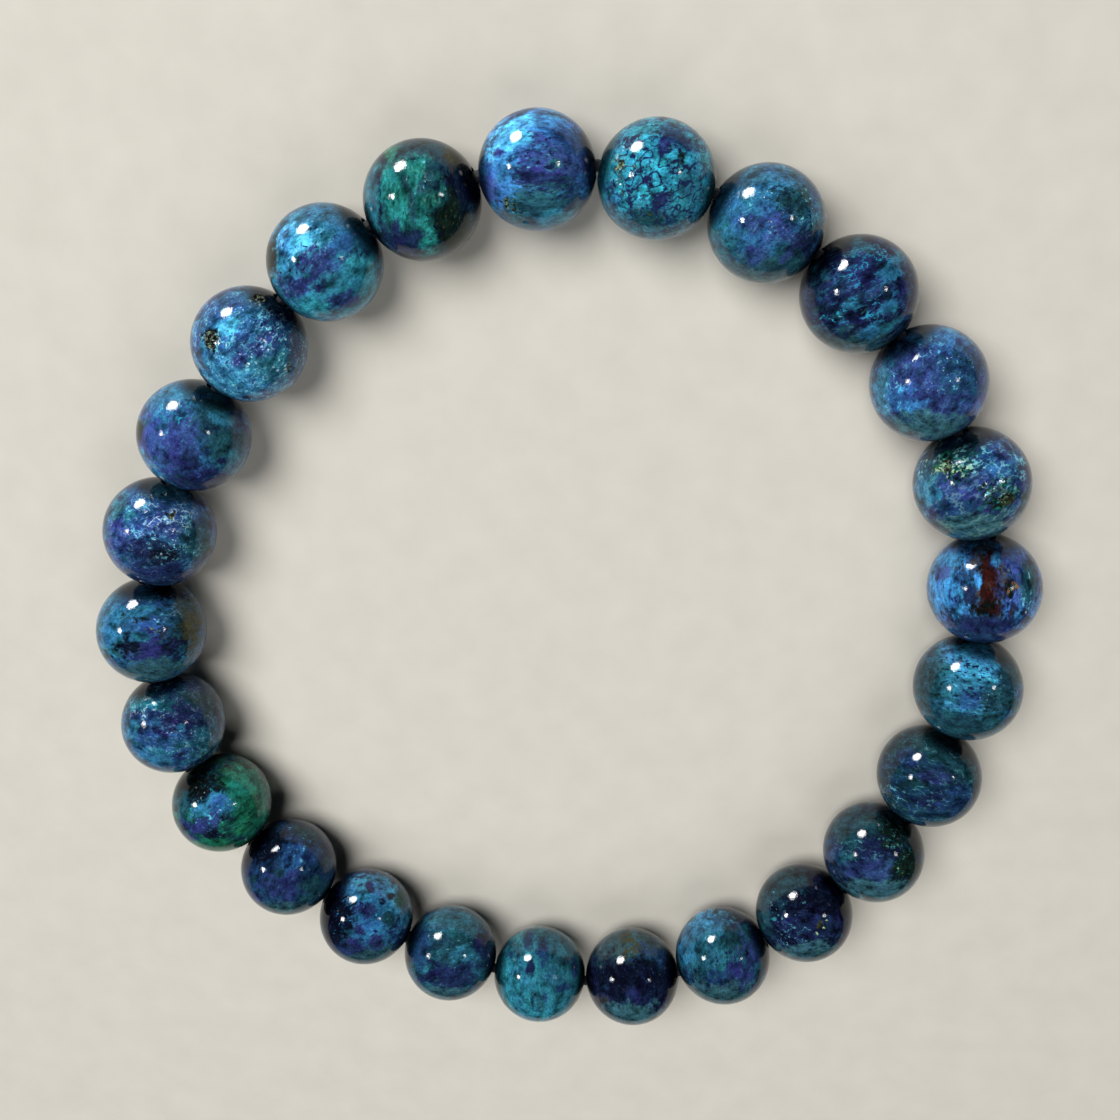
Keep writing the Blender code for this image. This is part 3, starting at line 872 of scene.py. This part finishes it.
def bead_stone(number, look, centre, along, radius):
    """Chrysocolla, a blue-green copper silicate, cut with the azurite, malachite and dark host
    rock that grow in it. Tumbled to a glassy polish, so it shows crisp highlights over colour
    that lies at and just under the surface."""
    material, tree = empty_material(f"polished_chrysocolla_{number:02d}")
    metres = add(tree, "ShaderNodeTexCoord").outputs["Object"]

    # The bead's own frame, in radii: right, up and nearer as the photograph sees this bead
    turn = Matrix(picture_frame(centre)).transposed().to_euler()
    disc = add(tree, "ShaderNodeMapping", {
        "Vector": metres,
        "Location": centre,
        "Rotation": turn,
        "Scale": (radius, radius, radius),
    }, vector_type="TEXTURE").outputs[0]

    # The minerals grew along one direction, which draws the grain out that way.
    streak_angle, stretch = look["streak"]
    along_streaks = Matrix.Rotation(math.radians(streak_angle), 3, "Z")
    drawn_out = add(tree, "ShaderNodeMapping", {
        "Vector": metres,
        "Rotation": (Matrix(picture_frame(centre)).transposed() @ along_streaks).to_euler(),
        "Scale": (stretch, 1.0, 1.0),
    }, vector_type="TEXTURE").outputs[0]

    # Clots bend the outlines of the patches, and grains crumble their edges.
    clots = clouds(tree, drawn_out, CLOT_MM, 3.0)
    grains = clouds(tree, drawn_out, GRAIN_MM, 3.0)
    shade = clouds(tree, drawn_out, SHADE_MM, 4.0).outputs["Fac"]
    off_centre = add(tree, "ShaderNodeVectorMath", {
        0: clots.outputs["Color"], 1: (0.5, 0.5, 0.5),
    }, operation="SUBTRACT")
    bent = add(tree, "ShaderNodeVectorMath", {
        0: off_centre.outputs[0], 1: (WIDE_BEND,) * 3, 2: disc,
    }, operation="MULTIPLY_ADD").outputs[0]
    slightly_bent = add(tree, "ShaderNodeVectorMath", {
        0: off_centre.outputs[0], 1: (SMALL_BEND,) * 3, 2: disc,
    }, operation="MULTIPLY_ADD").outputs[0]
    squiggled = add(tree, "ShaderNodeVectorMath", {
        0: grains.outputs["Color"], 1: (SQUIGGLE_MM * MM,) * 3, 2: drawn_out,
    }, operation="MULTIPLY_ADD").outputs[0]
    crumble = maths(tree, "ADD", grains.outputs["Fac"], shade)
    edges = {}
    for small, (depth, blend) in ((False, WIDE_EDGE), (True, SMALL_EDGE)):
        edges[small] = [maths(tree, "MULTIPLY_ADD", crumble, depth, 1.0 - depth + blend * side)
                        for side in (1.0, -1.0)]

    # Ground: blue and green minerals, mixed
    mix = clouds(tree, drawn_out, GROUND_MM, 7.0, roughness=0.66)
    ramp = add(tree, "ShaderNodeValToRGB", {"Fac": mix.outputs["Fac"]})
    stops = ramp.color_ramp.elements
    while len(stops) < len(GROUND_STOPS):
        stops.new(0.5)
    for stop, place, colour in zip(stops, GROUND_STOPS, look["ground"]):
        stop.position = place
        stop.color = linear(colour)
    colour = ramp.outputs["Color"]

    for mineral, *place in look["patches"]:
        small = min(place[2:4]) < SMALL_PATCH
        inside = region(tree, slightly_bent if small else bent, place, edges[small])
        colour = cover(tree, colour, linear(mineral), inside)

    # Within each mineral the hue drifts between bluer and greener, the shade varies from clot to
    # clot, and a sugar-like grain shows.
    sugar = clouds(tree, drawn_out, SUGAR_MM, 2.0).outputs["Fac"]
    drift = remap(tree, clots.outputs["Fac"], *NOISE_SPAN, *HUE_DRIFT)
    toned = [level * look["tone"] for level in CLOT_SHADE]
    clot_shade = remap(tree, shade, *SHADE_SPAN, *toned)
    bright = maths(tree, "MULTIPLY", clot_shade, remap(tree, sugar, *NOISE_SPAN, *SUGAR_SHADE))

    # Painted shade at the joints: the colour darkens round both mouths of the hole, where the next
    # bead meets this one, and fades out under 1 mm from where it is whole. Its edge is ragged.
    from_centre = add(tree, "ShaderNodeVectorMath", {0: metres, 1: centre}, operation="SUBTRACT")
    reach = add(tree, "ShaderNodeVectorMath", {
        0: from_centre.outputs[0], 1: along / radius,
    }, operation="DOT_PRODUCT").outputs["Value"]
    reach = maths(tree, "MULTIPLY_ADD", shade, JOINT_SHADE_RAGGED, maths(tree, "ABSOLUTE", reach))
    unshaded = remap(tree, reach, *JOINT_SHADE, 1.0, JOINT_SHADE_DARK, curve="SMOOTHSTEP")
    colour = add(tree, "ShaderNodeHueSaturation", {
        "Hue": drift, "Saturation": SATURATION, "Color": colour,
        "Value": maths(tree, "MULTIPLY", bright, unshaded),
    }).outputs[0]

    for speck in look["specks"]:
        colour = add_specks(tree, squiggled, bent, shade, unshaded, colour, speck)

    # The polish doesn't reach into the pits, which keep dark earthy matrix. Its gold-green specks are
    # partly mineral and partly painted glints.
    roughness = POLISHED_ROUGHNESS
    if look.get("pits"):
        depth = add(tree, "ShaderNodeAttribute", attribute_name="pit").outputs["Fac"]
        earth_and_glints = two_colours(tree, sugar, (MATRIX_BLACK, GOLD_GREEN), (0.5, 0.8))
        colour = cover(tree, colour, earth_and_glints.outputs["Color"], remap(tree, depth, *PIT_EARTH))
        roughness = remap(tree, depth, 0.0, PIT_DULL, POLISHED_ROUGHNESS, PIT_ROUGHNESS)

    bump = add(tree, "ShaderNodeBump", {
        "Height": grains.outputs["Fac"], "Strength": 0.5, "Distance": 0.02 * MM,
    })
    shader = add(tree, "ShaderNodeBsdfPrincipled", {
        "Base Color": colour, "Roughness": roughness, "IOR": STONE_IOR,
        "Specular IOR Level": STONE_MIRROR, "Normal": bump.outputs["Normal"],
    })
    finish_material(tree, shader)
    return material


def picture_frame(centre):
    """Right, up and nearer, as the photograph sees a bead at this place."""
    nearer = (CAMERA_PLACE - centre).normalized()
    right = (PICTURE_RIGHT - nearer * PICTURE_RIGHT.dot(nearer)).normalized()
    return right, nearer.cross(right), nearer


def sink_pits(shape, pits, centre, radius):
    """Natural vugs that the polish has cut open: ragged little hollows, or one round dimple
    where the pit is small. How deep each point of a ragged one lies is kept for the material."""
    depth_layer = shape.verts.layers.float.new("pit")
    axes = picture_frame(centre)
    spots = []
    for right, up, half_width, depth in pits:
        near = math.sqrt(1.0 - right ** 2 - up ** 2)
        spots.append((axes[0] * right + axes[1] * up + axes[2] * near, half_width, depth))
    for direction, half_width, _ in spots:
        reach = half_width + PIT_MARGIN
        faces = [face for face in shape.faces
                 if ((face.calc_center_median() - centre) / radius - direction).length < reach]
        edges = {edge for face in faces for edge in face.edges}
        bmesh.ops.subdivide_edges(shape, edges=list(edges), cuts=PIT_CUTS, use_grid_fill=True)
    for vertex in shape.verts:
        outward = vertex.co - centre
        if outward.length < WALL_OF_HOLE * radius:
            continue
        outward.normalize()
        sunk = 0.0
        bare = 0.0
        for direction, half_width, depth in spots:
            inside = 1.0 - (outward - direction).length / half_width
            if inside <= 0.0:
                continue
            inside = min(1.0, PIT_WALL * inside)
            if half_width > SINGLE_PIT:
                coarse, fine = [noise.noise(vertex.co / (size * MM)) for size in PIT_GRAINS_MM]
                grain = coarse + 0.5 * fine
                inside *= min(1.0, max(0.0, PIT_RAGGED[0] * grain + PIT_RAGGED[1]))
                bare = max(bare, depth * inside)
            sunk = max(sunk, depth * inside)
        if sunk > 0.0:
            vertex.co = centre + outward * (radius - sunk * MM)
            vertex[depth_layer] = bare / DEEPEST_PIT_MM


def bead_mesh(name, diameter_mm, centre, along, pits):
    """A drilled ball: an arc from one mouth of the hole to the other, spun about the hole."""
    radius = diameter_mm / 2
    bore_angle = math.asin(BORE_MM / diameter_mm)
    arc_steps, turn_steps = ((ARC_STEPS, TURN_STEPS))
    shape = bmesh.new()
    start = Vector((math.sin(bore_angle), 0.0, math.cos(bore_angle))) * radius
    first = shape.verts.new(start)
    bmesh.ops.spin(shape, geom=[first], cent=(0, 0, 0), axis=(0, 1, 0), dvec=(0, 0, 0),
                   angle=math.pi - 2 * bore_angle, steps=arc_steps)
    bmesh.ops.spin(shape, geom=shape.verts[:] + shape.edges[:], cent=(0, 0, 0), axis=(0, 0, 1),
                   dvec=(0, 0, 0), angle=2 * math.pi, steps=turn_steps, use_merge=True)
    mouths = [edge for edge in shape.edges if edge.is_boundary]
    bmesh.ops.bridge_loops(shape, edges=mouths)
    lip = [edge for edge in mouths if edge.is_valid]
    bmesh.ops.bevel(shape, geom=lip, offset=MOUTH_ROUNDING_MM, offset_type="OFFSET", affect="EDGES",
                    segments=3, profile=0.5, material=-1)

    # Local Z lies along the hole; the mesh takes its place in the ring.
    down = Vector((0.0, 0.0, -1.0))
    side = along.cross(down).normalized()
    turn = Matrix((down, side, along)).transposed().to_4x4()
    shape.transform(Matrix.Translation(centre) @ turn @ Matrix.Scale(MM, 4))
    if pits:
        sink_pits(shape, pits, centre, radius * MM)
    bmesh.ops.recalc_face_normals(shape, faces=shape.faces)
    for face in shape.faces:
        face.smooth = True
    mesh = bpy.data.meshes.new(name)
    shape.to_mesh(mesh)
    shape.free()
    bead = bpy.data.objects.new(name, mesh)
    bpy.context.scene.collection.objects.link(bead)
    return bead


def make_beads():
    centres = []
    diameters = []
    for node in BEAD_NODES:
        low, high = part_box(node)
        centres.append((low + high) / 2)
        diameters.append((high.z - low.z) / CAD_FLAT_SHARE / MM)
    for index, node in enumerate(BEAD_NODES):
        along = centres[(index + 1) % len(centres)] - centres[index - 1]
        along.z = 0.0
        along.normalize()
        look = BEADS[index]
        bead = bead_mesh(f"stone_{node}", diameters[index], centres[index], along, look.get("pits"))
        radius = diameters[index] / 2 * MM
        bead.data.materials.append(bead_stone(index + 1, look, centres[index], along, radius))
        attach(bead, "root")
        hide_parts(node)


def cord_material():
    """Elastic cord of braided fibre: a dull dark thread, its fine ribs about 0.2 mm apart."""
    material, tree = empty_material("braided_elastic")
    metres = add(tree, "ShaderNodeTexCoord").outputs["Object"]
    ribs = clouds(tree, metres, CORD_RIBS_MM, 2.0, roughness=0.5)
    ramp = two_colours(tree, ribs.outputs["Fac"], CORD_COLOURS)
    bump = add(tree, "ShaderNodeBump", {
        "Height": ribs.outputs["Fac"], "Strength": 0.4, "Distance": 0.03 * MM,
    })
    shader = add(tree, "ShaderNodeBsdfPrincipled", {
        "Base Color": ramp.outputs["Color"], "Roughness": 0.6, "IOR": 1.5,
        "Normal": bump.outputs["Normal"],
    })
    finish_material(tree, shader)
    return material


def make_floor():
    """A plain pale sheet under the beads, which touch it in one point each. It is uncoated paper,
    so it is dull and mirrors no lamp. Its fibres are too fine to show; 3 mm is the size of the
    faint clouds that they make."""
    shape = bmesh.new()
    bmesh.ops.create_grid(shape, x_segments=1, y_segments=1, size=FLOOR_SIZE)
    lowest = min(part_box(node)[1].z / 2 * (1 - 1 / CAD_FLAT_SHARE) for node in BEAD_NODES)
    bmesh.ops.translate(shape, verts=shape.verts, vec=(0.0, 0.0, lowest))
    mesh = bpy.data.meshes.new("floor")
    shape.to_mesh(mesh)
    shape.free()
    floor = bpy.data.objects.new("floor", mesh)
    bpy.context.scene.collection.objects.link(floor)
    material, tree = empty_material("matte_paper")
    metres = add(tree, "ShaderNodeTexCoord").outputs["Object"]
    fibres = clouds(tree, metres, PAPER_CLOUDS_MM, 4.0, roughness=0.5)
    ramp = two_colours(tree, fibres.outputs["Fac"], PAPER_COLOURS)
    shader = add(tree, "ShaderNodeBsdfPrincipled", {
        "Base Color": ramp.outputs["Color"], "Roughness": 0.9, "Specular IOR Level": 0.1,
    })
    finish_material(tree, shader)
    mesh.materials.append(material)


def add_lamp(name, place, size, power, highlight=False):
    """A round lamp that faces the ring. It is either a soft light that the polish doesn't mirror,
    or a highlight alone. Place and size are in metres."""
    light = bpy.data.lights.new(name, "AREA")
    light.shape = "DISK"
    light.size = size
    light.energy = power
    lamp = bpy.data.objects.new(name, light)
    bpy.context.scene.collection.objects.link(lamp)
    lamp.location = place
    lamp.rotation_euler = (-Vector(place)).to_track_quat("-Z", "Y").to_euler()
    lamp.visible_glossy = highlight
    lamp.visible_diffuse = not highlight


def make_lights():
    add_lamp("key", (-0.19, 0.24, 0.50), 0.4, 4.6)
    add_lamp("fill", (0.12, -0.30, 0.42), 0.5, 1.2)
    add_lamp("far_window", (-0.22, 0.38, 0.07), 0.14, 2.4, highlight=True)
    add_lamp("left_window", (-0.39, 0.11, 0.30), 0.06, 0.6, highlight=True)
    add_lamp("right_window", (0.31, 0.14, 0.31), 0.035, 0.14, highlight=True)
    world = bpy.data.worlds.new("studio")
    world.use_nodes = True
    tree = world.node_tree
    tree.nodes.clear()
    background = add(tree, "ShaderNodeBackground", {"Color": linear("#DDE3E8"), "Strength": 0.02})
    output = tree.nodes.new("ShaderNodeOutputWorld")
    tree.links.new(background.outputs[0], output.inputs["Surface"])
    bpy.context.scene.world = world


def make_camera():
    data = bpy.data.cameras.new("camera")
    data.sensor_width = SENSOR_MM
    data.sensor_fit = "HORIZONTAL"
    data.lens = LENS_MM
    data.clip_start = 0.001
    data.clip_end = 20.0
    camera = bpy.data.objects.new("camera", data)
    bpy.context.scene.collection.objects.link(camera)
    back = (CAMERA_PLACE - CAMERA_AIM).normalized()
    right = (PICTURE_RIGHT - back * PICTURE_RIGHT.dot(back)).normalized()
    turn = Matrix((right, back.cross(right), back)).transposed().to_4x4()
    camera.matrix_world = Matrix.Translation(CAMERA_PLACE) @ turn
    bpy.context.scene.camera = camera


bpy.context.scene.view_settings.view_transform = "Standard"
make_camera()
make_beads()
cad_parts["elastic_cord"].data.materials[0] = cord_material()
make_floor()
make_lights()
